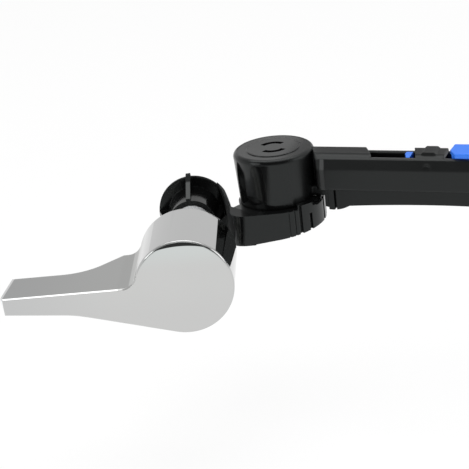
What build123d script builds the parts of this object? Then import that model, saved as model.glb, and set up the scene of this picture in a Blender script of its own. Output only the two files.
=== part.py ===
from build123d import *
from math import acos, atan2, cos, hypot, radians, sin, sqrt, tan
import os

# A push-down cistern lever. The origin is on the spindle axis at the cistern's outer wall face.
# +Y runs into the cistern, +X to the lifting side, +Z up. Millimetres and degrees.

# Clearances
run_gap = 0.06          # radial, a shaft in its bore
slide_gap = 0.3         # between faces that pass each other
seat_gap = 0.1          # around a piece that drops into a socket of its own body
overlap = 0.5           # how far a feature sinks into the body it grows from
cut_room = 2.0          # how far a cutting shape stands outside the body it cuts

# Handle: a hub with a flat-topped paddle
hub_radius = 17.0
hub_depth = 29.5
hub_wall_gap = 1.0      # hub's rear rim to the wall face
hub_shell = 2.4
hub_front_wall = 3.0
socket_boss_radius = 7.0
front_round = 1.0       # rounded edge of the handle's front outline
paddle_reach = 62.9     # spindle axis to the tip
paddle_top = 1.45       # height of the flat top over the axis
paddle_depth = 16.75    # front to rear, at the tip
tip_thickness = 6.45
tip_lean = 0.7          # how far the tip's lower corner stands back
tip_slant = 2.0         # how far the tip's rear corner stands back
bend_reach = 38.0       # where the underside turns down to the hub
bend_thickness = 8.65
bend_radius = 45.0
crook_radius = 5.4      # fillet between the paddle's top and the hub
sweep_reach = 43.5      # where the paddle's rear edge starts to sweep back
sweep_radius = 19.0
sweep_turn = 45.0

# Travel stop between the hub and the bush's flange
lever_travel = 40.0
stop_height = 3.0
wing_span = 20.0
wing_radius = 12.0
stop_ease = 1.5         # free turn left at each end of the travel

# Spindle
spindle_radius = 4.5
spindle_square = 6.3    # across the flats of its two driving ends
front_drive = 19.0      # length of the square in the hub
rear_drive = 18.0       # length of the square in the crank

# Wall fixing
gasket_radius = 13.0
gasket_thickness = 2.5
flange_radius = 12.5
flange_thickness = 2.5
neck_square = 14.0      # across the flats, keyed to the hole in the wall
neck_length = 3.0
neck_corner = 1.5
shank_radius = 6.9
shank_length = 26.6     # wall face to the shank's end
shank_chamfer = 0.8
wall_room = 5.0         # between gasket and washer
washer_radius = 11.5
washer_thickness = 1.0
nut_flange_radius = 12.0
nut_flange_thickness = 2.0
nut_across_flats = 18.0
nut_length = 7.0
nut_chamfer = 0.7
thrust_thickness = 0.8

# Crank: boss on the spindle with a disc, web, knuckle base
boss_depth = 22.6       # collar's front to the boss's back
boss_back_radius = 9.0
collar_front_radius = 8.8
collar_radius = 9.3
disc_front = 13.4       # disc's distance behind the collar's front
disc_radius = 13.1
disc_edge = 1.5
rib_thickness = 1.7
rib_nib = 1.1           # how far the top rib stands over the disc's edge
top_rib_turn = -3.6
screw_radius = 1.9
screw_length = 12.0
screw_head_radius = 4.0
screw_head_height = 2.4
screw_washer_radius = 5.2
screw_washer_thickness = 1.0
web_wall = 2.6
web_foot = 20.5         # places of the web's outer side: at the base's front, then further back
web_neck_side = 13.4
web_collar_side = 11.9
web_disc_side = 9.4
web_collar_setback = 5.6
web_rise = 3.8          # web's top over the base's, at the disc
web_collar_rise = 2.3
flare_foot = 26.0       # radius of the web's rounded outside: at the base's front, neck and disc
flare_neck = 15.8
flare_lip = 0.4         # the last, over the disc's edge

# Knuckle
knuckle_x = 32.0
knuckle_y = 32.0
base_radius = 14.5
drum_radius = 17.2
drum_start = -100.0
base_half_height = 5.75
base_tail = 2.6         # depth of the base's underside, under the axis, at its far end
slope_start = 3.0       # where the underside starts to rise, inside the base disc's edge
panel_rise = 1.3        # stop panel's top over the base's top
panel_span = 40.0
groove_width = 1.3
groove_depth = 1.1
groove_pitch = 15.0
slit_top = 3.2          # top of the short groove under the panel
mark_width = 0.5        # two fine marks on the drum
mark_pitch = 7.5
swivel_travel = 105.0
far_stop_span = 8.0
neck_rear = 24.0        # rear edge of the neck, from the wall face
neck_flare = 5.0
post_radius = 4.2
post_bore = 2.6
post_height = 20.6
barb_reach = 1.1
barb_height = 1.5
barb_span = 80.0

# Lifting arm, laid out along its own length from the knuckle axis
arm_angle = -17.3       # from +X, towards the wall
cap_top = 24.8
cap_top_radius = 14.85
cap_foot_radius = 13.8
cap_wall = 1.8
cap_round = 1.8
cap_disc_radius = 9.8   # raised disc on the cap's top
cap_disc_height = 0.25
sleeve_wall = 1.0
sleeve_lift = 1.0       # sleeve's foot over the base's top
cap_rib_width = 1.6
cap_rib_lift = 4.0
slit_radius = 4.7
slit_width = 2.0
slit_span = 100.0
slit_turn = 112.0       # middle of the first slit, from the arm
arm_half_width = 5.3
arm_shoulder = 18.4     # where the sides start to slope in
arm_top = 24.4
arm_top_half = 3.6
arm_split = 10.8        # joint between arm and cover
arm_length = 95.0
arm_wall = 1.6
arm_roof = 1.9
arm_roof_half = 2.95    # half width of the inside, under the roof
arm_edge = 1.4
scoop_start = 14.2      # notch beside the cap on the wall's side, along the arm
scoop_end = 17.2
scoop_side = 2.4        # where the notch ends, from the arm's middle
scoop_round = 0.8
root_half = 1.8         # root's lower part on the wall's side, from the arm's middle
root_lift = 0.35        # root's underside over the stop panel
tongue_width = 2.4      # stop tongue under the root
tongue_start = 15.0
window_start = 32.9
window_lean = 5.6       # how far the window's end runs out from one side of the arm to the other
window_dip = 1.6        # how far the side walls drop at the window
bridge_start = 51.4
bridge_lean = 2.7
bridge_length = 12.6
bridge_drop = 0.1       # bridge's shoulders under the arm's top
bump_middle = 58.4
bump_length = 4.0
bump_slope = 0.7
bump_rise = 0.5         # bump over the arm's top
bump_inset = 0.2

# Cover under the arm
cover_start = 19.0
lobe_front = 3.7        # heights of the underside: at its start, under the lobe, behind the lobe,
lobe_low = 3.15         # at the arch's top and at the end
lobe_rear = 4.75
arch_high = 5.65
arch_end = 4.6
lobe_low_at = 3.3       # distances of those places from the cover's start
lobe_rear_at = 9.5
arch_high_at = 34.0
cover_inset = 0.2       # cover's sides behind the arm's
slot_spans = ((-0.5, 1.9), (4.0, 4.8))  # along the cover, the first open at its end
slot_depth = 2.0
cover_screw_at = 27.0
cover_screw_seat = 7.2
cover_screw_radius = 1.5
cover_screw_head = 2.8
cover_head_height = 2.2
cover_screw_reach = 8.0
screw_boss_radius = 3.0

# Extension bar
bar_start = 31.5
bar_end = 119.0
bar_floor = 7.9
bar_top = 16.4
tooth_pitch = 3.0
tooth_depth = 0.6
blade_start = 98.0
blade_thickness = 3.2
blade_height = 7.0
blade_round = 2.0
chain_hole_radius = 1.6
chain_hole_pitch = 6.0
chain_hole_edge = 3.6   # first hole's centre from the bar's end
chain_hole_count = 3

# Length latch
latch_half_width = 2.9
nose_start = 48.2
nose_length = 3.2
nose_lean = 2.0         # how far the nose's end runs out across its width
nose_top = 22.8
nose_chamfer = 0.8
beam_floor = 18.6
beam_top = 20.4
pivot_at = 57.8
pivot_height = 19.5
pivot_radius = 1.2
pivot_reach = 4.5
pad_start = 65.6
pad_length = 20.4
pad_floor = 23.5
pad_top = 25.15
pad_cut_run = 2.6       # corner cut off the pad on the wall's side
pad_cut_width = 4.5
pad_skew = 0.4          # how far the pad's other corner stands back
pad_round = 0.4
pad_inset = 0.15        # pad's sides inside the arm's
stem_inset = 1.0        # stem's rear inside the pad's
press_angle = 3.0       # the latch's turn when pressed
shelf_start = 71.0
shelf_thickness = 1.4
spring_length = 10.0
spring_thickness = 0.35
spring_width = 4.0
spring_ease = 0.05      # under the pad's stem

# Places worked out from the sizes above
hub_rear = -hub_wall_gap
hub_front = hub_rear - hub_depth
recess_front = hub_front + hub_front_wall
flange_front = -gasket_thickness - flange_thickness
boss_rear = flange_front - slide_gap
washer_front = wall_room
nut_front = washer_front + washer_thickness
collar_front = shank_length + thrust_thickness
disc_face = collar_front + disc_front
boss_back = collar_front + boss_depth
disc_back = disc_face + disc_edge
base_front = knuckle_y - drum_radius
drive_socket = spindle_square + 2 * seat_gap
cap_foot = base_half_height + seat_gap
cap_roof = cap_top - cap_wall
panel_top = base_half_height + panel_rise
root_floor = panel_top + root_lift
arm_inner = arm_half_width - arm_wall
roof_underside = arm_top - arm_roof
bridge_end = bridge_start + bridge_length
nose_end = nose_start + nose_length
pad_end = pad_start + pad_length
bar_ceiling = bar_top + slide_gap
shelf_top = bar_ceiling + shelf_thickness
slot_half = latch_half_width + slide_gap
tongue_turn = tongue_width / (2 * radians(1) * tongue_start)
knuckle = Pos(knuckle_x, knuckle_y, 0)
arm_place = Location((knuckle_x, knuckle_y, 0), (0, 0, arm_angle))


def along_y(start, end, sketch):
    """Sketch drawn in X and Z, made solid from y = start to y = end."""
    plane = Plane((0, start, 0), x_dir=(1, 0, 0), z_dir=(0, 1, 0))
    return extrude(plane * mirror(sketch, Plane.XZ), end - start, dir=(0, 1, 0))


def upright(start, end, sketch):
    """Sketch drawn in X and Y, made solid from z = start to z = end."""
    return extrude(Pos(0, 0, start) * sketch, end - start, dir=(0, 0, 1))


def across(half_width, sketch):
    """Sketch drawn along the arm and up, made solid to both sides of the arm's middle."""
    return extrude(Plane.XZ * sketch, half_width, both=True)


def lengthwise(start, end, sketch):
    """Sketch drawn across the arm and up, made solid along the arm."""
    return extrude(Plane.YZ.offset(start) * sketch, end - start, dir=(1, 0, 0))


def block(x0, x1, y0, y1, z0, z1):
    return Pos((x0 + x1) / 2, (y0 + y1) / 2, (z0 + z1) / 2) * Box(x1 - x0, y1 - y0, z1 - z0)


def ring_sector(inner, outer, start, span):
    """Part of a flat ring, from the angle start over span degrees."""
    turns = [radians(start + span * share) for share in (0, 0.5, 1)]
    out = [(outer * cos(t), outer * sin(t)) for t in turns]
    back = [(inner * cos(t), inner * sin(t)) for t in reversed(turns)]
    sides = [Line(out[2], back[0]), Line(back[2], out[0])]
    return make_face([ThreePointArc(*out), ThreePointArc(*back)] + sides)


def handle_outline():
    """Front view of hub and paddle: top line, crook, hub, tangent underside."""
    tip_top = (-paddle_reach, paddle_top)
    tip_low = (-paddle_reach + tip_lean, paddle_top - tip_thickness)
    bend = (-bend_reach, paddle_top - bend_thickness)
    tangent = atan2(bend[1], bend[0]) + acos(hub_radius / hypot(*bend))
    hub_low = (hub_radius * cos(tangent), hub_radius * sin(tangent))
    crook_z = paddle_top + crook_radius
    crook_x = -sqrt((hub_radius + crook_radius) ** 2 - crook_z**2)
    share = hub_radius / (hub_radius + crook_radius)
    hub_high = (crook_x * share, crook_z * share)
    middle = (atan2(-crook_z, -crook_x) + radians(-90)) / 2
    crook_mid = (crook_x + crook_radius * cos(middle), crook_z + crook_radius * sin(middle))
    outline = make_face(
        [
            Line(tip_top, (crook_x, paddle_top)),
            ThreePointArc((crook_x, paddle_top), crook_mid, hub_high),
            ThreePointArc(hub_high, (hub_radius, 0), hub_low),
            Line(hub_low, bend),
            Line(bend, tip_low),
            Line(tip_low, tip_top),
        ]
    )
    return fillet(outline.vertices().sort_by_distance(bend)[0], bend_radius)


def paddle_rear_cut():
    """Plan view of the space behind the paddle, whose rear edge sweeps back to the hub."""
    edge = hub_front + paddle_depth
    turn = radians(sweep_turn)
    arc_mid = (
        -sweep_reach + sweep_radius * sin(turn / 2),
        edge + sweep_radius * (1 - cos(turn / 2)),
    )
    arc_end = (-sweep_reach + sweep_radius * sin(turn), edge + sweep_radius * (1 - cos(turn)))
    rear = hub_rear + cut_room
    rear_corner = (arc_end[0] + (rear - arc_end[1]) / tan(turn), rear)
    far = -paddle_reach - cut_room
    return make_face(
        [
            Line((far, edge), (-sweep_reach, edge)),
            ThreePointArc((-sweep_reach, edge), arc_mid, arc_end),
            Line(arc_end, rear_corner),
            Line(rear_corner, (far, rear)),
            Line((far, rear), (far, edge)),
        ]
    )


def lever_handle():
    body = along_y(hub_front, hub_rear, handle_outline())
    body -= upright(-2 * hub_radius, 2 * hub_radius, paddle_rear_cut())
    slant = Polygon(
        (-paddle_reach, hub_front),
        (-paddle_reach + tip_slant, hub_front + paddle_depth),
        (-paddle_reach - cut_room, hub_front + paddle_depth),
        (-paddle_reach - cut_room, hub_front),
        align=None,
    )
    body -= upright(-hub_radius, hub_radius, slant)
    body = fillet(body.faces().sort_by(Axis.Y)[0].edges(), front_round)
    body -= along_y(recess_front, hub_rear, Circle(hub_radius - hub_shell))
    body += along_y(recess_front, boss_rear, Circle(socket_boss_radius))
    for middle in (90, 270):
        start = middle - (lever_travel + wing_span) / 2
        wing = ring_sector(socket_boss_radius - overlap, wing_radius, start, wing_span)
        body += along_y(boss_rear - stop_height, boss_rear, wing)
    socket_front = boss_rear - front_drive - seat_gap
    return body - along_y(socket_front, boss_rear, Rectangle(drive_socket, drive_socket))


def spindle():
    square = Rectangle(spindle_square, spindle_square)
    rear_end = collar_front + rear_drive
    body = along_y(boss_rear - front_drive, boss_rear, square)
    body += along_y(boss_rear, collar_front, Circle(spindle_radius))
    body += along_y(collar_front, rear_end, square)
    return body - along_y(boss_back - screw_length, rear_end, Circle(screw_radius + seat_gap))


def threaded_bush():
    body = along_y(flange_front, -gasket_thickness, Circle(flange_radius))
    neck = RectangleRounded(neck_square, neck_square, neck_corner)
    body += along_y(-gasket_thickness, neck_length, neck)
    shank = along_y(neck_length, shank_length, Circle(shank_radius))
    body += chamfer(shank.edges().sort_by(Axis.Y)[-1], shank_chamfer)
    stop_span = 180 - lever_travel - wing_span - 2 * stop_ease
    for middle in (0, 180):
        stop = ring_sector(socket_boss_radius + slide_gap, flange_radius, middle - stop_span / 2, stop_span)
        body += along_y(flange_front - stop_height, flange_front, stop)
    return body - along_y(flange_front, shank_length, Circle(spindle_radius + run_gap))


def wall_gasket():
    hole = neck_square + 2 * seat_gap
    ring = Circle(gasket_radius) - RectangleRounded(hole, hole, neck_corner)
    return along_y(-gasket_thickness, 0, ring)


def nut_washer():
    ring = Circle(washer_radius) - Circle(shank_radius + slide_gap)
    return along_y(washer_front, nut_front, ring)


def back_nut():
    flange_rear = nut_front + nut_flange_thickness
    nut_rear = nut_front + nut_length
    hexagon = along_y(flange_rear, nut_rear, RegularPolygon(nut_across_flats / 2, 6, major_radius=False))
    body = along_y(nut_front, flange_rear, Circle(nut_flange_radius))
    body += chamfer(hexagon.faces().sort_by(Axis.Y)[-1].edges(), nut_chamfer)
    return body - along_y(nut_front, nut_rear, Circle(shank_radius + run_gap))


def thrust_washer():
    ring = Circle(shank_radius) - Circle(spindle_radius + run_gap)
    return along_y(shank_length, collar_front, ring)


def crank_boss():
    """Collar with a thin disc round it, tapering behind the disc to the boss's back."""
    section = Polygon(
        (0, collar_front),
        (collar_front_radius, collar_front),
        (collar_radius, disc_face),
        (disc_radius, disc_face),
        (disc_radius, disc_back),
        (boss_back_radius, boss_back),
        (0, boss_back),
        align=None,
    )
    return revolve(section, Axis.Y)


def crank_rib(turn, crest):
    """Gusset on the collar, from its front edge to the disc's."""
    root = collar_front_radius - rib_thickness
    section = Polygon(
        (collar_front, root),
        (collar_front, collar_front_radius + rib_thickness / 2),
        (disc_face, crest),
        (disc_back, crest),
        (disc_back, root),
        align=None,
    )
    return Rot(0, turn, 0) * extrude(Plane.YZ * section, rib_thickness / 2, both=True)


def crank_web():
    """Curved wall from the disc forward past the shank to the base, its top falling as it comes."""
    collar_y = collar_front + web_collar_setback
    outer = [
        (web_foot, base_front),
        (web_neck_side, neck_rear),
        (web_collar_side, collar_y),
        (web_disc_side, disc_back),
    ]
    inner = [(x + web_wall, y) for x, y in outer]
    end_lean = (web_disc_side - web_collar_side, disc_back - collar_y)
    plan = make_face(
        [
            Spline(*outer, tangents=[(-1, 0), end_lean]),
            Line(outer[3], inner[3]),
            Polyline(*reversed(inner)),
            Line(inner[0], outer[0]),
        ]
    )
    foot = (base_front, base_half_height)
    collar = (collar_y, base_half_height + web_collar_rise)
    crest = (disc_back, base_half_height + web_rise)
    low_foot, low_collar, low_crest = [(y, -z) for y, z in (foot, collar, crest)]
    side = make_face(
        [
            ThreePointArc(foot, collar, crest),
            Line(crest, low_crest),
            ThreePointArc(low_crest, low_collar, low_foot),
            Line(low_foot, foot),
        ]
    )
    flare = Polygon(
        (0, base_front),
        (flare_foot, base_front),
        (flare_neck, neck_rear),
        (disc_radius + flare_lip, disc_back),
        (0, disc_back),
        align=None,
    )
    high = base_half_height + web_rise
    wall = upright(-high, high, plan) & extrude(Plane.YZ * side, flare_foot, dir=(1, 0, 0))
    return wall & revolve(flare, Axis.Y)


def groove(turn, width, depth, floor, top):
    """Upright groove in the drum, at an angle round the knuckle axis."""
    reach = drum_radius + cut_room
    return Rot(0, 0, turn) * block(drum_radius - depth, reach, -width / 2, width / 2, floor, top)


def knuckle_base():
    """Base disc with its neck, drum, swivel stops and snap post, round the knuckle axis."""
    disc_side = knuckle_x - base_radius
    neck = Polygon(
        (web_foot + web_wall / 2, base_front),
        (knuckle_x, base_front),
        (knuckle_x, knuckle_y),
        (disc_side, knuckle_y - neck_flare),
        (web_neck_side + web_wall / 2, neck_rear),
        align=None,
    )
    panel_end = arm_angle - tongue_turn - stop_ease
    far_stop = arm_angle + swivel_travel + tongue_turn + stop_ease
    drum = ring_sector(base_radius - overlap, drum_radius, drum_start, far_stop + far_stop_span - drum_start)
    plan = neck + knuckle * (Circle(base_radius) + drum)
    body = upright(-base_half_height, base_half_height, plan)
    stop_inner = cap_radius(panel_top) + slide_gap
    stops = ring_sector(stop_inner, drum_radius, panel_end - panel_span, panel_span)
    stops += ring_sector(stop_inner, drum_radius, far_stop, far_stop_span)
    features = upright(base_half_height, panel_top, stops)
    features += upright(base_half_height, post_height, Circle(post_radius) - Circle(post_bore))
    for turn in (slit_turn, slit_turn + 180):
        start = arm_angle + turn - barb_span / 2
        barb = ring_sector(post_radius - overlap, post_radius + barb_reach, start, barb_span)
        features += upright(post_height - barb_height, post_height, barb)
    body += knuckle * features
    panel_groove = arm_angle - 3 * groove_pitch
    cuts = groove(panel_groove, groove_width, groove_depth, -base_half_height, panel_top)
    cuts += groove(panel_groove + groove_pitch, groove_width, groove_depth, -base_half_height, slit_top)
    for step in (1, 2):
        cuts += groove(panel_groove - mark_pitch * step, mark_width, mark_width, -base_half_height, panel_top)
    for step in range(int(swivel_travel / groove_pitch) + 1):
        turn = arm_angle + groove_pitch * step
        cuts += groove(turn, groove_width, groove_depth, -base_half_height, panel_top)
    body -= knuckle * cuts
    far = knuckle_x + drum_radius
    under = Polygon(
        (disc_side + slope_start, -base_half_height),
        (far, -base_tail),
        (far, -base_half_height - cut_room),
        (disc_side + slope_start, -base_half_height - cut_room),
        align=None,
    )
    return body - along_y(base_front - cut_room, knuckle_y + drum_radius + cut_room, under)


def crank_link():
    body = crank_boss() + crank_web() + knuckle_base()
    body += crank_rib(top_rib_turn, disc_radius + rib_nib)
    for turn in (-90, 90, 180):
        body += crank_rib(turn, disc_radius)
    socket_end = collar_front + rear_drive + seat_gap
    body -= along_y(collar_front, socket_end, Rectangle(drive_socket, drive_socket))
    return body - along_y(socket_end, boss_back, Circle(screw_radius + seat_gap))


def crank_washer():
    ring = Circle(screw_washer_radius) - Circle(screw_radius + seat_gap)
    return along_y(boss_back, boss_back + screw_washer_thickness, ring)


def crank_screw():
    head_front = boss_back + screw_washer_thickness
    body = along_y(head_front - screw_length, head_front, Circle(screw_radius))
    return body + along_y(head_front, head_front + screw_head_height, Circle(screw_head_radius))


def cap_radius(z):
    """Outer radius of the knuckle cap, which widens upwards."""
    share = (z - base_half_height) / (cap_top - base_half_height)
    return cap_foot_radius + (cap_top_radius - cap_foot_radius) * share


def cap_cone(foot, top, inset):
    section = Polygon(
        (0, foot),
        (cap_radius(foot) - inset, foot),
        (cap_radius(top) - inset, top),
        (0, top),
        align=None,
    )
    return revolve(Plane.XZ * section, Axis.Z)


def cap_outside():
    cone = cap_cone(cap_foot, cap_top, 0)
    return fillet(cone.edges().sort_by(Axis.Z)[-1], cap_round)


def cap_sleeve():
    """Tube that turns on the post, with room over it for the barbs, and ribs to the cap's wall."""
    ledge = post_height - barb_height - slide_gap
    foot = base_half_height + sleeve_lift
    barb_room = post_radius + barb_reach + slide_gap
    outer = barb_room + sleeve_wall
    sleeve = upright(foot, cap_roof, Circle(outer))
    half = cap_rib_width / 2
    rib = block(outer - overlap, cap_foot_radius, -half, half, foot + cap_rib_lift, cap_roof)
    for turn in (45, 135, 225, 315):
        sleeve += Rot(0, 0, turn) * rib
    sleeve -= upright(foot, ledge, Circle(post_radius + run_gap))
    return sleeve - upright(ledge, cap_roof, Circle(barb_room))


def arm_section(half, shoulder, top_half, top):
    """Cross-section of the arm: upright sides, then shoulders that slope in to the top."""
    return Polygon(
        (half, root_floor),
        (half, shoulder),
        (top_half, top),
        (-top_half, top),
        (-half, shoulder),
        (-half, root_floor),
        align=None,
    )


def arm_plan():
    """Plan of the arm, with a notch beside the cap on the wall's side."""
    corner = (scoop_end, -arm_half_width)
    plan = Polygon(
        (0, arm_half_width),
        (arm_length, arm_half_width),
        (arm_length, -arm_half_width),
        corner,
        (scoop_start, scoop_side),
        (0, scoop_side),
        align=None,
    )
    return fillet(plan.vertices().sort_by_distance(corner)[0], scoop_round)


def arm_channel():
    """Outside of the arm, hollow from below, its root reaching down in front of the cover."""
    section = arm_section(arm_half_width, arm_shoulder, arm_top_half, arm_top)
    upper = [v for v in section.vertices() if v.Y > arm_split]
    solid = lengthwise(0, arm_length, fillet(upper, arm_edge)) & upright(arm_split, arm_top, arm_plan())
    solid += block(0, cover_start, -root_half, arm_half_width, root_floor, arm_split)
    inside = arm_section(arm_inner, arm_shoulder, arm_roof_half, roof_underside)
    return solid - lengthwise(cover_start + arm_wall, arm_length, inside)


def latch_opening():
    """Window across the arm, slot behind the bridge and recess for the pad, cut from above."""
    far = arm_half_width + cut_room
    slot_end = pad_end + slide_gap
    top = arm_top + cut_room
    window = Polygon(
        (window_start, arm_half_width),
        (bridge_start, arm_half_width),
        (bridge_start + bridge_lean, -arm_half_width),
        (window_start + window_lean, -arm_half_width),
        align=None,
    )
    cut = upright(arm_top - window_dip, top, window)
    cut += upright(arm_shoulder, top, window & (Pos(bridge_start, 0) * Rectangle(arm_length, 2 * slot_half)))
    cut += block(bridge_end, slot_end, -slot_half, slot_half, arm_shoulder, top)
    fall = tan(radians(press_angle))
    recess = Polygon(
        (bridge_end, pad_floor - slide_gap - (bridge_end - pivot_at) * fall),
        (slot_end, pad_floor - slide_gap - (slot_end - pivot_at) * fall),
        (slot_end, top),
        (bridge_end, top),
        align=None,
    )
    return cut + across(far, recess)


def bridge_bump():
    """Low ridge across the bridge."""
    low = bump_middle - bump_length / 2
    high = bump_middle + bump_length / 2
    foot = arm_top - bridge_drop
    section = Polygon(
        (low - bump_slope, foot - overlap),
        (low - bump_slope, foot),
        (low, arm_top + bump_rise),
        (high, arm_top + bump_rise),
        (high + bump_slope, foot),
        (high + bump_slope, foot - overlap),
        align=None,
    )
    return across(arm_top_half - bump_inset, section)


def lift_arm():
    body = cap_outside() + arm_channel()
    tongue_half = tongue_width / 2
    tongue_end = drum_radius - slide_gap
    tongue_foot = base_half_height + slide_gap
    body += block(tongue_start, tongue_end, -tongue_half, tongue_half, tongue_foot, root_floor + overlap)
    body -= cap_cone(base_half_height, cap_roof, cap_wall)
    body += cap_sleeve()
    wide = arm_half_width + cut_room
    body -= block(bridge_start, bridge_end, -wide, wide, arm_top - bridge_drop, arm_top + cut_room)
    body += bridge_bump()
    body -= latch_opening()
    body -= across(pivot_reach + seat_gap, Pos(pivot_at, pivot_height) * Circle(pivot_radius + run_gap))
    inner_side = arm_inner + overlap
    body += block(shelf_start, pad_end, -inner_side, inner_side, bar_ceiling, shelf_top)
    screw_axis = Pos(cover_screw_at, 0)
    body += upright(arm_split, roof_underside + overlap, screw_axis * Circle(screw_boss_radius))
    pilot_end = arm_split + cover_screw_reach + seat_gap
    body -= upright(arm_split, pilot_end, screw_axis * Circle(cover_screw_radius + seat_gap))
    body += upright(cap_top - overlap, cap_top + cap_disc_height, Circle(cap_disc_radius))
    slit_inner = slit_radius - slit_width / 2
    for turn in (slit_turn, slit_turn + 180):
        slit = ring_sector(slit_inner, slit_inner + slit_width, turn - slit_span / 2, slit_span)
        body -= upright(cap_roof, cap_top + cut_room, slit)
    return arm_place * body


def cover_outline():
    """Side view of the cover: a lobe at the knuckle end, then a long shallow arch."""
    front = (cover_start, lobe_front)
    low = (cover_start + lobe_low_at, lobe_low)
    rear = (cover_start + lobe_rear_at, lobe_rear)
    high = (cover_start + arch_high_at, arch_high)
    end = (arm_length, arch_end)
    return make_face(
        [
            Line((cover_start, arm_split), front),
            ThreePointArc(front, low, rear),
            ThreePointArc(rear, high, end),
            Line(end, (arm_length, arm_split)),
            Line((arm_length, arm_split), (cover_start, arm_split)),
        ]
    )


def arm_cover():
    body = across(arm_half_width - cover_inset, cover_outline())
    cavity_start = bar_start - slide_gap
    body -= block(cavity_start, arm_length, -arm_inner, arm_inner, bar_floor - slide_gap, arm_split)
    for start, end in slot_spans:
        for edge in (-arm_half_width, arm_half_width):
            low, high = edge - slot_depth, edge + slot_depth
            body -= block(cover_start + start, cover_start + end, low, high, 0, arm_split)
    screw_axis = Pos(cover_screw_at, 0)
    body -= upright(0, arm_split, screw_axis * Circle(cover_screw_radius + seat_gap))
    return arm_place * (body - upright(0, cover_screw_seat, screw_axis * Circle(cover_screw_head + seat_gap)))


def cover_screw():
    axis = Pos(cover_screw_at, 0)
    head = upright(cover_screw_seat - cover_head_height, cover_screw_seat, axis * Circle(cover_screw_head))
    shaft = upright(cover_screw_seat, arm_split + cover_screw_reach, axis * Circle(cover_screw_radius))
    return arm_place * (head + shaft)


def extension_bar():
    half = arm_inner - slide_gap
    middle = (bar_floor + bar_top) / 2
    body = block(bar_start, blade_start, -half, half, bar_floor, bar_top)
    blade_length = bar_end - blade_start + blade_round
    blade = RectangleRounded(blade_length, blade_height, blade_round)
    blade = Pos(bar_end - blade_length / 2, middle) * blade
    body += across(blade_thickness / 2, blade)
    for i in range(1, int((blade_start - bar_start) / tooth_pitch)):
        s = bar_start + tooth_pitch * i
        valley = Polygon(
            (s - tooth_depth, bar_top),
            (s + tooth_depth, bar_top),
            (s, bar_top - tooth_depth),
            align=None,
        )
        body -= across(half, valley)
    for i in range(chain_hole_count):
        at = bar_end - chain_hole_edge - chain_hole_pitch * i
        body -= across(blade_thickness, Pos(at, middle) * Circle(chain_hole_radius))
    return arm_place * body


def length_latch():
    """Rocker with a nose over the bar, a pivot under the bridge and a thumb pad."""
    stem_start = pad_start + stem_inset
    stem_end = pad_end - stem_inset
    side = Polygon(
        (nose_start, bar_ceiling),
        (nose_end, bar_ceiling),
        (nose_end, beam_floor),
        (stem_start, beam_floor),
        (stem_start + beam_top - beam_floor, beam_top),
        (stem_end, beam_top),
        (stem_end, pad_floor + overlap),
        (stem_start, pad_floor + overlap),
        (stem_start, beam_top),
        (nose_end, beam_top),
        (nose_end, nose_top),
        (nose_start + nose_chamfer, nose_top),
        (nose_start, nose_top - nose_chamfer),
        align=None,
    )
    nose_plan = Polygon(
        (nose_start, latch_half_width),
        (pad_end, latch_half_width),
        (pad_end, -latch_half_width),
        (nose_start + nose_lean, -latch_half_width),
        align=None,
    )
    body = across(latch_half_width, side) & upright(0, pad_top, nose_plan)
    pad_half = arm_half_width - pad_inset
    pad = Polygon(
        (pad_start + pad_skew, pad_half),
        (pad_start, pad_cut_width - pad_half),
        (pad_start + pad_cut_run, -pad_half),
        (pad_end, -pad_half),
        (pad_end, pad_half),
        align=None,
    )
    plate = upright(pad_floor, pad_top, pad)
    body += fillet(plate.faces().sort_by(Axis.Z)[-1].edges(), pad_round)
    return arm_place * (body + across(pivot_reach, Pos(pivot_at, pivot_height) * Circle(pivot_radius)))


def latch_spring():
    """Bowed leaf between the arm's shelf and the underside of the pad's stem."""
    middle = (shelf_start + pad_end) / 2
    start = middle - spring_length / 2
    end = middle + spring_length / 2
    crown = beam_top - spring_ease
    foot_top = shelf_top + spring_thickness
    profile = make_face(
        [
            ThreePointArc((start, foot_top), (middle, crown), (end, foot_top)),
            Line((end, foot_top), (end, shelf_top)),
            ThreePointArc((end, shelf_top), (middle, crown - spring_thickness), (start, shelf_top)),
            Line((start, shelf_top), (start, foot_top)),
        ]
    )
    return arm_place * across(spring_width / 2, profile)


pieces = {
    "lever_handle": lever_handle(),
    "spindle": spindle(),
    "threaded_bush": threaded_bush(),
    "wall_gasket": wall_gasket(),
    "nut_washer": nut_washer(),
    "back_nut": back_nut(),
    "thrust_washer": thrust_washer(),
    "crank_link": crank_link(),
    "crank_washer": crank_washer(),
    "crank_screw": crank_screw(),
    "lift_arm": lift_arm(),
    "arm_cover": arm_cover(),
    "cover_screw": cover_screw(),
    "extension_bar": extension_bar(),
    "length_latch": length_latch(),
    "latch_spring": latch_spring(),
}

os.makedirs("parts", exist_ok=True)
for name, solid in pieces.items():
    export_step(solid, f"parts/{name}.step")
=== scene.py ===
import bpy, math
from mathutils import Matrix, Vector


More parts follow.
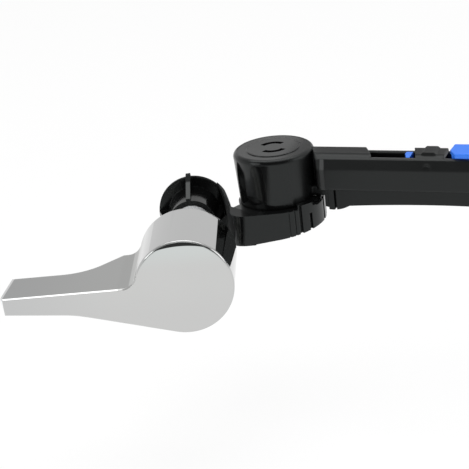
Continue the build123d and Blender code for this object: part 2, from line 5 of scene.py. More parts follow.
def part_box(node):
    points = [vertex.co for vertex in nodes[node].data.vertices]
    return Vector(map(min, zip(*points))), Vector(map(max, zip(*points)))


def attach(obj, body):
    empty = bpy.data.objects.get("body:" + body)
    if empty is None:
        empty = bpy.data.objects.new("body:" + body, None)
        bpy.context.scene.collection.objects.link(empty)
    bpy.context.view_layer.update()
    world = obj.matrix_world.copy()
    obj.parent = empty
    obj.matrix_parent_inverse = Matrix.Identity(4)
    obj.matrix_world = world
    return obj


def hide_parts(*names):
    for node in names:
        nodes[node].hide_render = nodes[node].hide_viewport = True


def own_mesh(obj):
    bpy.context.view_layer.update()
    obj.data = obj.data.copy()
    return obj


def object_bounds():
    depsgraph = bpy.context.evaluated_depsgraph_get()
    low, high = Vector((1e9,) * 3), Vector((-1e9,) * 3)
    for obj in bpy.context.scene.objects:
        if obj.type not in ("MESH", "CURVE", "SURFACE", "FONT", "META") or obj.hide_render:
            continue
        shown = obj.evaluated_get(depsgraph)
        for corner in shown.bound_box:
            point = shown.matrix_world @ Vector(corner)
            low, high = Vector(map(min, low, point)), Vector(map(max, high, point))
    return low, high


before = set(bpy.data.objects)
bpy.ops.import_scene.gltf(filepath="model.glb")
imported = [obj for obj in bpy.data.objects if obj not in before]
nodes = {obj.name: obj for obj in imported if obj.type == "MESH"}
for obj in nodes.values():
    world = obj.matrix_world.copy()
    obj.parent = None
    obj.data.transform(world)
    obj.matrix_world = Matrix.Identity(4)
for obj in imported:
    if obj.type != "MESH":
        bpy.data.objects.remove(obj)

cadLow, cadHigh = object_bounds()
bpy.ops.object.select_all(action="DESELECT")
print("frame loaded:", len(nodes), "nodes")


# photo camera: angles in degrees, lengths in metres, picture places in pixels of a 469 frame
shot = {
    "azimuth": 4.12, "elevation": 22.05, "roll": 6.63, "distance": 0.6, "focalPixels": 1782.0,
    "aim": (0.0, -0.0305, 0.0), "aimPixel": (184.16, 287.64), "frame": 469.0,
    "sensor": 36.0, "clipStart": 0.01, "clipEnd": 20,       # the sensor is in millimetres
}


def placeCamera():
    az, el, roll = (math.radians(shot[k]) for k in ("azimuth", "elevation", "roll"))
    back = Vector((math.sin(az) * math.cos(el), -math.cos(az) * math.cos(el), math.sin(el)))
    level = Vector((math.cos(az), math.sin(az), 0))
    upright = back.cross(level)
    right = math.cos(roll) * level - math.sin(roll) * upright
    up = math.sin(roll) * level + math.cos(roll) * upright
    perPixel = shot["distance"] / shot["focalPixels"]
    offX = (shot["aimPixel"][0] - shot["frame"] / 2) * perPixel
    offY = -(shot["aimPixel"][1] - shot["frame"] / 2) * perPixel
    place = Vector(shot["aim"]) + back * shot["distance"] - right * offX - up * offY
    bpy.ops.object.camera_add()
    camera = bpy.context.object
    camera.name = "photoCamera"
    camera.data.sensor_width = shot["sensor"]
    camera.data.lens = shot["focalPixels"] * shot["sensor"] / shot["frame"]
    camera.data.clip_start, camera.data.clip_end = shot["clipStart"], shot["clipEnd"]
    turn = Matrix((right, up, back)).transposed().to_4x4()
    camera.matrix_world = Matrix.Translation(place) @ turn
    bpy.context.scene.camera = camera


placeCamera()
print("camera placed")


# rounded edges: rays for each normal, and how far it turns from flat where an edge is paled, for wear and as a
# painted highlight
rounding = {"samples": 6, "edgeTurn": (0.02, 0.25)}


class Wire:     # one output socket: arithmetic adds Math nodes, add() makes any other node
    def __init__(self, socket):
        self.socket = socket

    def add(self, kind, settings=None, inputs=None, out=0):
        tree = self.socket.id_data
        node = tree.nodes.new(kind)
        for key, value in (settings or {}).items():
            setattr(node, key, value)
        for key, value in (inputs or {}).items():
            if isinstance(value, Wire):
                tree.links.new(value.socket, node.inputs[key])
            else:
                node.inputs[key].default_value = value
        return Wire(node.outputs[out])

    def math(self, operation, *values, clamp=False):
        settings = {"operation": operation, "use_clamp": clamp}
        return self.add("ShaderNodeMath", settings, dict(enumerate(values)))

    def __add__(self, other): return self.math("ADD", self, other)
    def __radd__(self, other): return self.math("ADD", other, self)
    def __sub__(self, other): return self.math("SUBTRACT", self, other)
    def __rsub__(self, other): return self.math("SUBTRACT", other, self)
    def __mul__(self, other): return self.math("MULTIPLY", self, other)
    def __rmul__(self, other): return self.math("MULTIPLY", other, self)

    def most(self, other): return self.math("MAXIMUM", self, other)
    def size(self): return self.math("ABSOLUTE", self)
    def clamp(self): return self.math("ADD", self, 0.0, clamp=True)

    def hypot(self, other):             # distance from the axis that both are measured from
        square = self * self + other * other
        return square.math("SQRT", square)

    def between(self, low, high):       # 0 below low, 1 above high, smooth between
        settings = {"interpolation_type": "SMOOTHSTEP"}
        return self.add("ShaderNodeMapRange", settings, {0: self, 1: low, 2: high, 3: 0.0, 4: 1.0})

    def before(self, low, high):        # 1 below low, 0 above high
        return 1.0 - self.between(low, high)

    def within(self, start, end):       # rises over the first pair, falls over the second
        return self.between(*start) * self.before(*end)

    def vector(self, operation, *values):
        return self.add("ShaderNodeVectorMath", {"operation": operation}, dict(enumerate((self, *values))))

    def inWorld(self, direction):       # a direction of the object, turned with it
        turn = {"vector_type": "VECTOR", "convert_from": "OBJECT", "convert_to": "WORLD"}
        return self.add("ShaderNodeVectorTransform", turn, {0: direction})

    def blend(self, first, second):     # vectors, self is the share of the second
        return self.add("ShaderNodeMix", {"data_type": "VECTOR"}, {0: self, 4: first, 5: second}, out=1)

    def mix(self, first, second):       # colours, self is the share of the second
        settings = {"data_type": "RGBA", "blend_type": "MIX"}
        return self.add("ShaderNodeMix", settings, {0: self, 6: first, 7: second}, out=2)

    def noise(self, scale, detail=3.0, roughness=0.5):
        return self.add("ShaderNodeTexNoise", None,
                        {"Vector": self, "Scale": scale, "Detail": detail, "Roughness": roughness})

    def stretch(self, x, y, z):
        return self.add("ShaderNodeMapping", None, {"Vector": self, "Scale": (x, y, z)})

    def axis(self, index):
        return self.add("ShaderNodeSeparateXYZ", None, {0: self}, out=index)

    def rounded(self, radius):          # normal with its edges rounded
        return self.add("ShaderNodeBevel", {"samples": rounding["samples"]}, {"Radius": radius})

    def wornAndLitEdges(self, edge):             # 1 where the rounded normal leaves the flat one; it pales edges for wear and as a painted highlight
        flat = self.add("ShaderNodeNewGeometry", out=1)
        along = self.add("ShaderNodeVectorMath", {"operation": "DOT_PRODUCT"}, {0: edge, 1: flat}, out=1)
        return (1.0 - along).between(*rounding["edgeTurn"])

    def bump(self, edge, strength=1.0, depth=1.0):
        return self.add("ShaderNodeBump", None,
                        {"Strength": strength, "Distance": depth, "Height": self, "Normal": edge})

    def rays(self):                     # which kind of ray looks here: camera, glossy, transmission
        outputs = self.add("ShaderNodeLightPath").socket.node.outputs
        return [Wire(outputs["Is " + kind + " Ray"]) for kind in ("Camera", "Glossy", "Transmission")]


plainWhite, noVector = (1.0, 1.0, 1.0, 1), (0, 0, 0)


def newMaterial(name):
    material = bpy.data.materials.new(name)
    material.use_nodes = True
    tree = material.node_tree
    tree.nodes.clear()
    shader = tree.nodes.new("ShaderNodeBsdfPrincipled")
    output = tree.nodes.new("ShaderNodeOutputMaterial")
    tree.links.new(shader.outputs[0], output.inputs["Surface"])
    place = Wire(tree.nodes.new("ShaderNodeTexCoord").outputs["Object"])
    return material, shader, place


def feed(shader, **values):     # links a Wire to a shader socket, or sets a fixed value on it
    for key, value in values.items():
        socket = shader.inputs[key.replace("_", " ")]
        if isinstance(value, Wire):
            shader.id_data.links.new(value.socket, socket)
        else:
            socket.default_value = value


# plated handle: distances in metres, from the hub's axis, the front face or the paddle's end
plate = {
    "colour": (0.597, 0.6, 0.592, 1), "haze": (0.572, 0.574, 0.568, 1), "cloud": (38.0, 4.0),
    "wipe": (150.0, 5.0, 0.6), "wipeZone": (0.52, 0.72), "gloss": 0.03, "smudge": 0.06,
    "swell": (55.0, 1.0), "ripple": 0.000002, "edge": 0.0005,
    "lower": (0.572, 0.573, 0.568, 1), "lowerZone": (-0.012, 0.003),                # painted shade at the bottom, painted reflection at the top of the front face, painted shade on the hub's side
    # painted reflection: upper is the lighter, greener top of the front face
    "upper": (0.6, 0.63, 0.62, 1), "paintedSheenZone": (0.006, 0.015), "faceDepth": (0.0001, 0.0004),
    # painted shade: hub is the darker colour of the hub's side
    "hub": (0.55, 0.552, 0.55, 1),
    # painted shade: the paddle darker towards its tip, over reach
    "paddle": (0.0135, 0.0165), "far": (0.53, 0.535, 0.535, 1), "reach": (0.02, 0.07),
    "paintedEndHighlight": (0.95, 0.95, 0.95, 1), "endNear": (0.00003, 0.00008), "endFar": (0.0006, 0.0008),
    "endSlant": 0.119,                                                              # painted highlight: a light line at the paddle's end
    "flat": (0.00006, 0.00012), "facet": (0.00045, 0.00055), "rounding": (0.0011, 0.0012),
    "facetSide": 0.94, "facetFront": -0.342,                                        # crisp front edge of the paddle
    "lean": (0, -0.062, 0), "rootLean": (0, -0.25, 0), "rootEnd": (0.021, 0.0235),  # its top leans to the front
    "skin": (0.0163, 0.0166), "skinBack": (0.0288, 0.0291),
    "shoulder": (0.0049, 0.0056), "shoulderEnd": (0.0117, 0.0121), "shoulderTop": (0.0, 0.002),
    "shoulderAngle": 18.0,                                                          # flatter on the hub's right
    "flank": (0.0147, 0.0149), "flankEnd": (0.0055, 0.0059), "flankSlant": 0.145, "flankAngle": 60.0,
    "rimDrop": 0.0203, "rimStart": (0.0353, 0.0356), "rimBack": (0.0001, 0.0004),
    "rimRise": (0, 0, 0.5),                                                         # crescent over the hub's face
}


def plateColour(cloud, across, behind, up, onPaddle, endAt):
    onFace = behind.before(*plate["faceDepth"])
    colour = cloud.mix(plate["colour"], plate["haze"])
    # painted shade: the plating darker towards the bottom
    colour = up.between(*plate["lowerZone"]).mix(plate["lower"], colour)
    # painted reflection: the top of the front face lighter and greener
    colour = (up.between(*plate["paintedSheenZone"]) * onFace).mix(colour, plate["upper"])
    # painted shade: the hub's side darker than its front face
    colour = ((1.0 - onFace) * (1.0 - onPaddle)).mix(colour, plate["hub"])
    # painted shade: darker towards the paddle's tip
    colour = (0.0 - across).between(*plate["reach"]).mix(colour, plate["far"])
    # painted highlight: a light line along the paddle's end
    fromEnd = across - endAt - behind * plate["endSlant"]
    return fromEnd.within(plate["endNear"], plate["endFar"]).mix(colour, plate["paintedEndHighlight"])


def plateNormal(place, across, behind, up, onPaddle):
    edge = place.rounded(plate["edge"])
    side = edge.vector("MULTIPLY", (1, 0, 1)).vector("NORMALIZE")       # the normal without its front part
    facet = side.vector("MULTIPLY_ADD", [plate["facetSide"]] * 3, (0, plate["facetFront"], 0))
    crisp = behind.between(*plate["facet"]).blend(facet, side)          # the paddle's edge is crisper than the hub's
    crisp = behind.between(*plate["flat"]).blend((0, -1, 0), crisp)
    normal = (onPaddle * behind.before(*plate["rounding"])).blend(edge, crisp)
    lean = (0.0 - across).between(*plate["rootEnd"]).blend(plate["rootLean"], plate["lean"])
    normal = onPaddle.blend(noVector, lean).vector("ADD", normal)
    skin = across.hypot(up).between(*plate["skin"])                     # the hub's outer side alone
    skin = skin * behind.within(plate["rounding"], plate["skinBack"])
    shoulder = across.within(plate["shoulder"], plate["shoulderEnd"]) * up.between(*plate["shoulderTop"])
    flank = across.between(*plate["flank"]) * (up + behind * plate["flankSlant"]).between(*plate["flankEnd"])
    for zone, angle in ((shoulder, "shoulderAngle"), (flank, "flankAngle")):
        turn = math.radians(plate[angle])
        held = place.inWorld((math.sin(turn), 0, math.cos(turn)))
        normal = (zone * skin).blend(normal, held)
    rim = across.hypot(up + plate["rimDrop"]).between(*plate["rimStart"]) * behind.before(*plate["rimBack"])
    rise = (rim * (1.0 - onPaddle)).blend(noVector, place.inWorld(plate["rimRise"]))
    return rise.vector("ADD", normal).vector("NORMALIZE")


def makePlate():
    material, shader, place = newMaterial("brightPlate")
    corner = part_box("lever_handle")[0]
    across, behind, up = place.axis(0), place.axis(1) - corner.y, place.axis(2)
    onPaddle = (0.0 - across).between(*plate["paddle"])
    cloud = place.noise(*plate["cloud"])
    wipe = place.noise(*plate["wipe"]).between(*plate["wipeZone"])
    height = place.noise(*plate["swell"]) * plate["ripple"]
    normal = plateNormal(place, across, behind, up, onPaddle)
    feed(shader, Base_Color=plateColour(cloud, across, behind, up, onPaddle, corner.x), Metallic=1.0,
         Roughness=wipe * cloud * plate["smudge"] + plate["gloss"], Normal=height.bump(normal))
    return material


# moulded plastics: one recipe, one dictionary for each colour
mouldSurface = {
    "cloud": (70.0, 4.0), "grain": (2600.0, 2.0), "flow": (160.0, 3.0, 0.4), "flowHeight": 2.0,
    "scuff": (900.0, 3.0, 0.7), "scuffZone": (0.6, 0.75), "scuffRough": 0.1,
    "edgeWearAndSheen": 0.9, "scuffWear": 0.4, "cloudWear": 0.25,
}
coolTint = (0.94, 1.0, 0.99, 1)
knuckleBlack = {
    "name": "knuckleMoulding", "colour": (0.0028, 0.0029, 0.003, 1), "wornAndSheen": (0.012, 0.0122, 0.0125, 1),
    "index": 1.4, "tint": coolTint, "gloss": 0.1, "spread": 0.07, "grain": 0.000001, "edge": 0.0003,
    "rim": (0.0126, 0.0131), "rimEnd": (0.0158, 0.0162), "rimRough": 0.7,
}
armBlack = {
    "name": "armMoulding", "colour": (0.0035, 0.0036, 0.0037, 1), "wornAndSheen": (0.014, 0.0142, 0.0145, 1),
    "index": 1.4, "tint": coolTint, "gloss": 0.1, "spread": 0.07, "grain": 0.0000012, "edge": 0.0011,
    "capAt": (0.032, 0.032), "turn": -17.3, "polishEnd": (0.004, 0.012), "armRough": 0.2,
    "slits": (0.0075, 0.0085), "slitEdge": 0.0001, "leanStart": (0.0155, 0.019), "lean": -0.085,
    # painted highlight colour for the arm's upper edge and its root
    "band": (0.0219, 0.0225), "bandTop": (0.0234, 0.0241), "armHighlightColour": (0.05, 0.051, 0.051, 1),
    "bandRise": (0, 0, 1.7), "root": (0.0183, 0.0189), "rootEnd": (0.0197, 0.0204),
}
coverBlack = {
    "name": "coverMoulding", "colour": (0.003, 0.0031, 0.0032, 1), "wornAndSheen": (0.012, 0.0122, 0.0125, 1),
    "index": 1.4, "tint": coolTint, "gloss": 0.42, "spread": 0.1, "grain": 0.000002, "edge": 0.0003,
}
barBlack = {
    "name": "barMoulding", "colour": (0.008, 0.0083, 0.0087, 1), "wornAndSheen": (0.024, 0.0243, 0.025, 1),
    "index": 1.4, "tint": coolTint, "gloss": 0.3, "spread": 0.14, "grain": 0.000004, "edge": 0.0002,
}
latchBlue = {
    "name": "blueMoulding", "colour": (0.028, 0.2, 0.9, 1), "wornAndSheen": (0.06, 0.26, 0.95, 1),
    "index": 1.45, "tint": plainWhite, "gloss": 0.26, "spread": 0.1, "grain": 0.0000025, "edge": 0.0003,
}
bushGrey = {
    "name": "greyMoulding", "colour": (0.52, 0.53, 0.54, 1), "wornAndSheen": (0.6, 0.61, 0.62, 1),
    "index": 1.46, "tint": plainWhite, "gloss": 0.36, "spread": 0.12, "grain": 0.000004, "edge": 0.0002,
}
nutWhite = {
    "name": "whiteMoulding", "colour": (0.72, 0.72, 0.69, 1), "wornAndSheen": (0.78, 0.78, 0.76, 1),
    "index": 1.46, "tint": plainWhite, "gloss": 0.36, "spread": 0.12, "grain": 0.000004, "edge": 0.0003,
}


def armZones(place, edge, look):    # polished cap, then a matt arm whose top falls a little to the back, with a painted highlight on the arm's upper edge and root
    east, north, up = place.axis(0) - look["capAt"][0], place.axis(1) - look["capAt"][1], place.axis(2)
    c, s = math.cos(math.radians(look["turn"])), math.sin(math.radians(look["turn"]))
    along, across = east * c + north * s, north * c - east * s
    onArm, upper = along.between(*look["leanStart"]), up.between(*look["band"])
    matt = along.between(*look["polishEnd"]) * look["armRough"]
    fall = onArm * across * look["lean"]
    band = upper * onArm                                            # the arm's upper edge is softer than the solid's, and painted paler as a highlight
    root = along.within(look["root"], look["rootEnd"]) * (1.0 - upper)
    edge = east.hypot(north).between(*look["slits"]).blend(place.rounded(look["slitEdge"]), edge)
    rise = band.most(root).blend(noVector, place.inWorld(look["bandRise"]))
    normal = edge.vector("ADD", rise).vector("NORMALIZE")
    # painted highlight: paler colour along the arm's upper edge and in a strip at its root
    paintedArmHighlight = (band * up.before(*look["bandTop"])).most(root)
    return matt, fall, edge, normal, paintedArmHighlight


def makeMoulding(look):
    material, shader, place = newMaterial(look["name"])
    edge = normal = place.rounded(look["edge"])
    cloud, grain, flow = (place.noise(*mouldSurface[k]) for k in ("cloud", "grain", "flow"))
    scuff = place.noise(*mouldSurface["scuff"]).between(*mouldSurface["scuffZone"]) * flow
    rough = cloud * look["spread"] + look["gloss"] + scuff * mouldSurface["scuffRough"]
    height = (grain + flow * mouldSurface["flowHeight"]) * look["grain"]
    paintedArmHighlight = None
    if "capAt" in look:
        matt, fall, edge, normal, paintedArmHighlight = armZones(place, edge, look)
        rough, height = rough + matt, height + fall
    if "rim" in look:               # the disc's rim is left matt
        rough = rough + place.axis(0).hypot(place.axis(2)).within(look["rim"], look["rimEnd"]) * look["rimRough"]
    # edges paled for wear and as a painted highlight where they catch the light; scuffs and cloud paler as wear
    wornAndSheen = place.wornAndLitEdges(edge) * cloud * mouldSurface["edgeWearAndSheen"]
    wornAndSheen = (wornAndSheen + scuff * mouldSurface["scuffWear"] + cloud * mouldSurface["cloudWear"]).clamp()
    colour = wornAndSheen.mix(look["colour"], look["wornAndSheen"])
    # painted highlight on the arm's upper edge and root
    if paintedArmHighlight:
        colour = paintedArmHighlight.mix(colour, look["armHighlightColour"])
    feed(shader, Base_Color=colour, Roughness=rough, IOR=look["index"], Specular_Tint=look["tint"],
         Normal=height.bump(normal))
    return material


# metal fasteners and spindle
metalSurface = {
    "stain": (260.0, 5.0, 0.6), "stainZone": (0.35, 0.75), "stainRough": 0.2, "edge": 0.00015,
    "pull": (1.0, 9.0, 1.0), "turning": (700.0, 2.0), "strength": 0.2, "depth": 0.00001,
}
steelLook = {"name": "turnedSteel", "colour": (0.5, 0.51, 0.52, 1), "dark": (0.36, 0.37, 0.38, 1), "gloss": 0.24}
brassLook = {"name": "turnedBrass", "colour": (0.72, 0.52, 0.24, 1), "dark": (0.52, 0.35, 0.14, 1), "gloss": 0.27}


def makeMetal(look):
    surface = metalSurface
    material, shader, place = newMaterial(look["name"])
    stain = place.noise(*surface["stain"])
    turning = place.stretch(*surface["pull"]).noise(*surface["turning"])
    feed(shader, Base_Color=stain.between(*surface["stainZone"]).mix(look["colour"], look["dark"]), Metallic=1.0,
         Roughness=stain * surface["stainRough"] + look["gloss"],
         Normal=turning.bump(place.rounded(surface["edge"]), surface["strength"], surface["depth"]))
    return material


rubberLook = {
    "colour": (0.02, 0.02, 0.02, 1), "bloomColour": (0.06, 0.06, 0.058, 1), "bloom": (220.0, 5.0, 0.65),
    "bloomZone": (0.45, 0.8), "bloomRough": 0.2, "rough": 0.62, "edge": 0.0002,
    "pores": (3200.0, 2.0), "strength": 0.35, "depth": 0.00002,
}


def makeRubber():
    look = rubberLook
    material, shader, place = newMaterial("gasketRubber")
    bloom, pores = place.noise(*look["bloom"]), place.noise(*look["pores"])
    feed(shader, Base_Color=bloom.between(*look["bloomZone"]).mix(look["colour"], look["bloomColour"]),
         Roughness=bloom * look["bloomRough"] + look["rough"],
         Normal=pores.bump(place.rounded(look["edge"]), look["strength"], look["depth"]))
    return material


plateMaterial = makePlate()
knuckleMaterial = makeMoulding(knuckleBlack)
armMaterial = makeMoulding(armBlack)
coverMaterial = makeMoulding(coverBlack)
barMaterial = makeMoulding(barBlack)
blueMaterial = makeMoulding(latchBlue)
greyMaterial = makeMoulding(bushGrey)
whiteMaterial = makeMoulding(nutWhite)
steelMaterial = makeMetal(steelLook)
brassMaterial = makeMetal(brassLook)
rubberMaterial = makeRubber()

finishes = {
    "lever_handle": plateMaterial, "spindle": brassMaterial, "threaded_bush": greyMaterial,
    "wall_gasket": rubberMaterial, "nut_washer": whiteMaterial, "back_nut": whiteMaterial,
    "thrust_washer": greyMaterial, "crank_link": knuckleMaterial, "crank_washer": steelMaterial,
    "crank_screw": steelMaterial, "lift_arm": armMaterial, "arm_cover": coverMaterial,
    "cover_screw": steelMaterial, "extension_bar": barMaterial, "length_latch": blueMaterial,
    "latch_spring": steelMaterial,
}
for name, material in finishes.items():
    slots = nodes[name].data.materials
    slots.clear()
    slots.append(material)
print("finishes assigned")


# modelling helpers: everything is picked by its place, in metres
smoothAngle, copyMerge = 32, 0.000002


def pick(mode, test):
    bpy.ops.mesh.select_mode(type=mode)
    bpy.ops.mesh.select_all(action="DESELECT")
    bpy.ops.object.mode_set(mode="OBJECT")
    mesh = bpy.context.object.data
    for part in (mesh.vertices if mode == "VERT" else mesh.polygons):
        part.select = test(part.co if mode == "VERT" else part.center)
    bpy.ops.object.mode_set(mode="EDIT")


def grow(rise, scale):      # extrudes what is selected upwards and scales the new end
    bpy.ops.mesh.extrude_region_move(TRANSFORM_OT_translate={"value": (0, 0, rise)})
    bpy.ops.transform.resize(value=(scale, scale, 1))


def closeMesh():            # turns every face outwards and leaves edit mode
    bpy.ops.mesh.select_all(action="SELECT")
    bpy.ops.mesh.normals_make_consistent(inside=False)
    bpy.ops.object.mode_set(mode="OBJECT")


def takeUp(piece):          # the one piece that is selected and active
    bpy.ops.object.mode_set(mode="OBJECT")
    bpy.ops.object.select_all(action="DESELECT")
    piece.select_set(True)
    bpy.context.view_layer.objects.active = piece


def settle(piece, name, material, body, node):
    takeUp(piece)
    bpy.ops.object.transform_apply(location=True, rotation=True, scale=True)
    bpy.ops.object.shade_smooth_by_angle(angle=math.radians(smoothAngle))
    piece.name = piece.data.name = name
    piece.data.materials.clear()
    piece.data.materials.append(material)
    piece.select_set(False)
    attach(piece, body)
    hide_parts(node)


def applyCut(piece, cutter):
    takeUp(piece)
    cut = piece.modifiers.new("cut", "BOOLEAN")
    cut.operation, cut.solver, cut.object = "DIFFERENCE", "EXACT", cutter
    bpy.ops.object.modifier_apply(modifier="cut")
    bpy.data.objects.remove(cutter)


def ownCopy(node):          # a merged copy of a solid's mesh, left in edit mode
    piece = nodes[node].copy()
    piece.data = nodes[node].data.copy()
    piece.parent = None
    for key in list(piece.keys()):
        del piece[key]
    bpy.context.scene.collection.objects.link(piece)
    takeUp(piece)
    bpy.ops.object.mode_set(mode="EDIT")
    bpy.ops.mesh.select_all(action="SELECT")
    bpy.ops.mesh.remove_doubles(threshold=copyMerge)
    return piece


# screws: modelled upright with the head's seat at the origin, then turned into place
screwShape = {"sides": 40, "tip": 0.55, "neck": 0.94, "lip": 0.0003, "domeTurns": (0, 22, 42, 58, 70, 80),
              "clear": 0.0002, "taper": 0.55}
crankScrew = {"shaft": 0.0019, "reach": 0.012, "head": 0.004, "rim": 0.0012, "dome": 0.0024, "recess": 0.0046,
              "slot": 0.00115, "depth": 0.0017}
coverScrew = {"shaft": 0.0015, "reach": 0.0116, "head": 0.0028, "rim": 0.001, "dome": 0.0022, "recess": 0.0034,
              "slot": 0.0009, "depth": 0.0014, "twist": 20}


def crossCutter(look):      # plus-shaped driver point, narrower at its bottom
    clear = screwShape["clear"]
    bpy.ops.mesh.primitive_plane_add(size=look["recess"], location=(0, 0, look["dome"] + clear))
    cutter = bpy.context.object
    bpy.ops.object.mode_set(mode="EDIT")
    bpy.ops.mesh.subdivide(number_cuts=2)
    third, half = look["recess"] / 6, look["slot"] / 2
    for index in (0, 1):
        pick("VERT", lambda co: abs(abs(co[index]) - third) < third / 2)
        scale = [1.0, 1.0, 1.0]
        scale[index] = half / third
        bpy.ops.transform.resize(value=scale)
    pick("FACE", lambda co: min(abs(co[0]), abs(co[1])) > half)
    bpy.ops.mesh.delete(type="FACE")
    bpy.ops.mesh.select_all(action="SELECT")
    grow(-look["depth"] - clear, screwShape["taper"])
    closeMesh()
    return cutter


def makeScrew(look):
    shape = screwShape
    tip = look["shaft"] * shape["tip"]
    bpy.ops.mesh.primitive_circle_add(vertices=shape["sides"], radius=tip, fill_type="NGON",
                                      location=(0, 0, -look["reach"]))
    screw = bpy.context.object
    bpy.ops.object.mode_set(mode="EDIT")
    bpy.ops.mesh.select_all(action="SELECT")
    grow(look["shaft"] - tip, look["shaft"] / tip)
    grow(look["reach"] - look["shaft"] + tip, 1.0)
    grow(0.0, look["head"] / look["shaft"] * shape["neck"])
    grow(shape["lip"], 1 / shape["neck"])
    grow(look["rim"] - shape["lip"], 1.0)
    sweep = look["dome"] - look["rim"]
    angles = [math.radians(turn) for turn in shape["domeTurns"]]
    for last, angle in zip(angles, angles[1:]):         # domed top
        grow(sweep * (math.sin(angle) - math.sin(last)), math.cos(angle) / math.cos(last))
    closeMesh()
    bpy.ops.object.transform_apply(location=True)
    applyCut(screw, crossCutter(look))
    return screw


def fitScrews():
    low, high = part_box("crank_screw")
    screw = makeScrew(crankScrew)
    screw.rotation_euler = (-math.pi / 2, 0, 0)         # head towards the tank's inside
    screw.location = ((low.x + high.x) / 2, high.y - crankScrew["dome"], (low.z + high.z) / 2)
    settle(screw, "crankScrewHead", steelMaterial, "lever", "crank_screw")
    low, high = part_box("cover_screw")
    screw = makeScrew(coverScrew)
    screw.rotation_euler = (math.pi, 0, math.radians(coverScrew["twist"]))      # head down, in the cover
    screw.location = ((low.x + high.x) / 2, (low.y + high.y) / 2, low.z + coverScrew["dome"])
    settle(screw, "coverScrewHead", steelMaterial, "arm", "cover_screw")


fitScrews()
print("screws fitted")


# bush: the solid's own mesh with its shank turned down, and a thread wound round it
bushThread = {"crest": 0.0069, "root": 0.0062, "sunk": 0.0002, "pitch": 0.002, "start": 0.003, "end": 0.0264,
              "crestWidth": 0.0005, "rootWidth": 0.0016, "steps": 56, "spareTurns": 2, "merge": 0.000001,
              "endGap": 0.00003, "startSlack": 0.0001, "skin": 0.00002}


def windThread():
    look = bushThread
    turns = math.ceil((look["end"] - look["start"]) / look["pitch"]) + look["spareTurns"]
    bpy.ops.mesh.primitive_plane_add(size=1, location=(0, 0, 0))
    thread = bpy.context.object
    bpy.ops.object.mode_set(mode="EDIT")
    deep = look["root"] - look["sunk"]
    bpy.ops.transform.resize(value=(look["crest"] - deep, look["rootWidth"], 1))
    pick("VERT", lambda co: co[0] > 0)
    bpy.ops.transform.resize(value=(1, look["crestWidth"] / look["rootWidth"], 1))
    bpy.ops.mesh.select_all(action="SELECT")
    bpy.ops.transform.translate(value=((look["crest"] + deep) / 2, look["start"] - look["pitch"], 0))
    bpy.ops.mesh.delete(type="ONLY_FACE")
    bpy.ops.object.mode_set(mode="OBJECT")
    bpy.ops.object.transform_apply(location=True)
    wind = thread.modifiers.new("wind", "SCREW")
    wind.axis, wind.screw_offset, wind.iterations = "Y", look["pitch"], turns
    wind.steps = wind.render_steps = look["steps"]
    wind.use_merge_vertices = False
    bpy.ops.object.modifier_apply(modifier="wind")
    bpy.ops.object.mode_set(mode="EDIT")
    bpy.ops.mesh.select_all(action="SELECT")
    bpy.ops.mesh.remove_doubles(threshold=look["merge"])
    bpy.ops.mesh.fill_holes(sides=4)
    for at, outer in ((look["start"], False), (look["end"], True)):
        bpy.ops.mesh.select_all(action="SELECT")
        bpy.ops.mesh.bisect(plane_co=(0, at, 0), plane_no=(0, 1, 0), use_fill=True, clear_inner=not outer,
                            clear_outer=outer)
    closeMesh()
    return thread


def makeBush():
    look = bushThread
    thread = windThread()
    bush = ownCopy("threaded_bush")
    pick("VERT", lambda co: co[1] > look["end"])
    bpy.ops.transform.translate(value=(0, -look["endGap"], 0))
    shankStart = look["start"] - look["startSlack"]
    pick("VERT", lambda co: co[1] > shankStart and abs(math.hypot(co[0], co[2]) - look["crest"]) < look["skin"])
    turned = look["root"] / look["crest"]
    bpy.ops.transform.resize(value=(turned, 1, turned), center_override=(0, 0, 0))
    bpy.ops.object.mode_set(mode="OBJECT")
    thread.select_set(True)
    bpy.ops.object.join()
    settle(bush, "bushWithThread", greyMaterial, "wall_fixing", "threaded_bush")


makeBush()
print("bush threaded")


# leaf spring under the pad, which the latch flattens when pressed; here a rigid copy of the solid's leaf with eased
# edges, carried by the arm
leafSpring = {"keep": 0.42, "edge": 0.00008, "segments": 2, "edgeAngle": 40}


def makeSpring():
    leaf = ownCopy("latch_spring")
    bpy.ops.object.mode_set(mode="OBJECT")
    ease = leaf.modifiers.new("ease", "BEVEL")
    ease.width, ease.segments, ease.limit_method = leafSpring["edge"], leafSpring["segments"], "ANGLE"
    ease.angle_limit = math.radians(leafSpring["edgeAngle"])
    bpy.ops.object.modifier_apply(modifier="ease")
    settle(leaf, "latchLeaf", steelMaterial, "arm", "latch_spring")
    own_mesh(leaf)


makeSpring()
print("spring fitted")


# studio floor: white to the eye and in mirrors, and it keeps the object's shadow
paper = {"drop": 0.06, "size": 6.0, "cells": 8, "colour": (0.92, 0.92, 0.92, 1), "rough": 0.9, "glow": 0.82,
         "white": 1.03}


def buildFloor():
    bpy.ops.mesh.primitive_grid_add(x_subdivisions=paper["cells"], y_subdivisions=paper["cells"], size=paper["size"],
                                    location=(0, 0, cadLow.z - paper["drop"]))
    floor = bpy.context.object
    floor.name = "studioFloor"
    bpy.ops.object.transform_apply(location=True)
    material, shader, place = newMaterial("studioPaper")
    feed(shader, Base_Color=paper["colour"], Roughness=paper["rough"])
    camera, glossy, through = place.rays()
    share = camera.most(glossy).most(through) * paper["glow"]
    glow = place.add("ShaderNodeEmission", None, {"Color": plainWhite, "Strength": paper["white"]})
    both = place.add("ShaderNodeMixShader", None, {0: share, 1: Wire(shader.outputs[0]), 2: glow})
    tree = material.node_tree
    output = next(n for n in tree.nodes if n.type == "OUTPUT_MATERIAL")
    tree.links.new(both.socket, output.inputs["Surface"])
    floor.data.materials.append(material)
    floor.select_set(False)


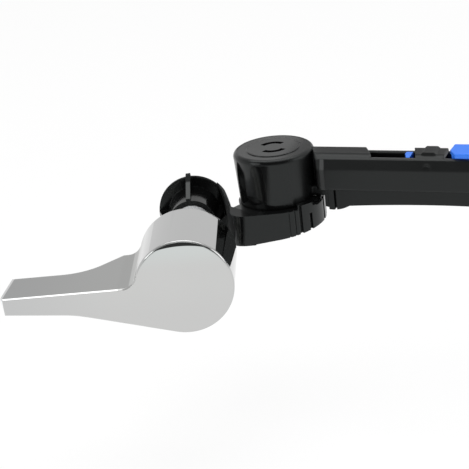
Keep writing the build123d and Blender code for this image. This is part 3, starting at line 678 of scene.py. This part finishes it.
# surroundings: how bright a mirrored direction is, by its height, its depth to the back and its side
sky = {
    "diffuse": 0.62, "backdrop": 0.82, "upperDim": 0.2, "upper": (0.41, 0.47),
    "strip": 1.9, "stripStart": (0.76, 0.83), "stripDepth": (0.15, 0.25),
    "overhead": 0.75, "zenith": (0.95, 0.975),
    "lowDim": 0.95, "lowStart": (0.03, 0.08), "lowEnd": (0.25, 0.31), "lowDepth": (0.0, 0.2), "lowSide": (0.16, 0.26),
    "frontLow": 0.28, "frontHigh": 0.04, "frontRise": (0.05, 0.5),
    "frontDepth": (0.1, 0.3), "frontStart": (0.0, 0.08), "frontSide": (0.6, 0.9),
}


def buildWorld():
    world = bpy.data.worlds.new("studioWorld")
    bpy.context.scene.world = world
    world.use_nodes = True
    tree = world.node_tree
    tree.nodes.clear()
    look = Wire(tree.nodes.new("ShaderNodeTexCoord").outputs["Generated"])
    side, depth, height = look.axis(0).size(), look.axis(1), look.axis(2)
    tint = sky["backdrop"] - height.between(*sky["upper"]) * sky["upperDim"]
    zenith = height.between(*sky["zenith"])
    strip = height.between(*sky["stripStart"]) * depth.between(*sky["stripDepth"]) * (1.0 - zenith)
    tint = tint + strip * sky["strip"] + zenith * sky["overhead"]
    low = height.within(sky["lowStart"], sky["lowEnd"]) * depth.between(*sky["lowDepth"])
    low = low * side.before(*sky["lowSide"])
    tint = tint * (1.0 - low * sky["lowDim"])
    front = (0.0 - depth).between(*sky["frontDepth"]) * height.between(*sky["frontStart"])
    front = front * side.before(*sky["frontSide"])
    dark = sky["frontLow"] - height.between(*sky["frontRise"]) * (sky["frontLow"] - sky["frontHigh"])
    tint = tint * (1.0 - front) + front * dark
    camera, glossy, through = look.rays()
    clear = camera.most(through)
    diffuse = 1.0 - clear.most(glossy)
    strength = clear + glossy * tint * (1.0 - clear) + diffuse * sky["diffuse"]
    glow = look.add("ShaderNodeBackground", None, {"Color": plainWhite, "Strength": strength})
    output = tree.nodes.new("ShaderNodeOutputWorld")
    tree.links.new(glow.socket, output.inputs["Surface"])


lampAim = Vector((0.03, 0, 0))
lamps = [
    {"name": "topBox", "at": (0.02, -0.05, 0.85), "watts": 3.2, "size": 0.75, "mirrored": False},
    {"name": "leftBox", "at": (-0.7, -0.45, 0.5), "watts": 1.2, "size": 0.5, "mirrored": True},
    {"name": "rightBox", "at": (0.8, -0.2, 0.4), "watts": 0.8, "size": 0.5, "mirrored": True},
]


def hangLamps():
    for lamp in lamps:
        bpy.ops.object.light_add(type="AREA", location=lamp["at"])
        light = bpy.context.object
        light.name = lamp["name"]
        light.data.shape = "DISK"
        light.data.size = lamp["size"]
        light.data.energy = lamp["watts"]
        light.visible_glossy = lamp["mirrored"]
        light.rotation_mode = "QUATERNION"
        light.rotation_quaternion = (lampAim - light.location).to_track_quat("-Z", "Y")


buildFloor()
buildWorld()
hangLamps()
bpy.context.scene.view_settings.view_transform = "Standard"
print("studio built")
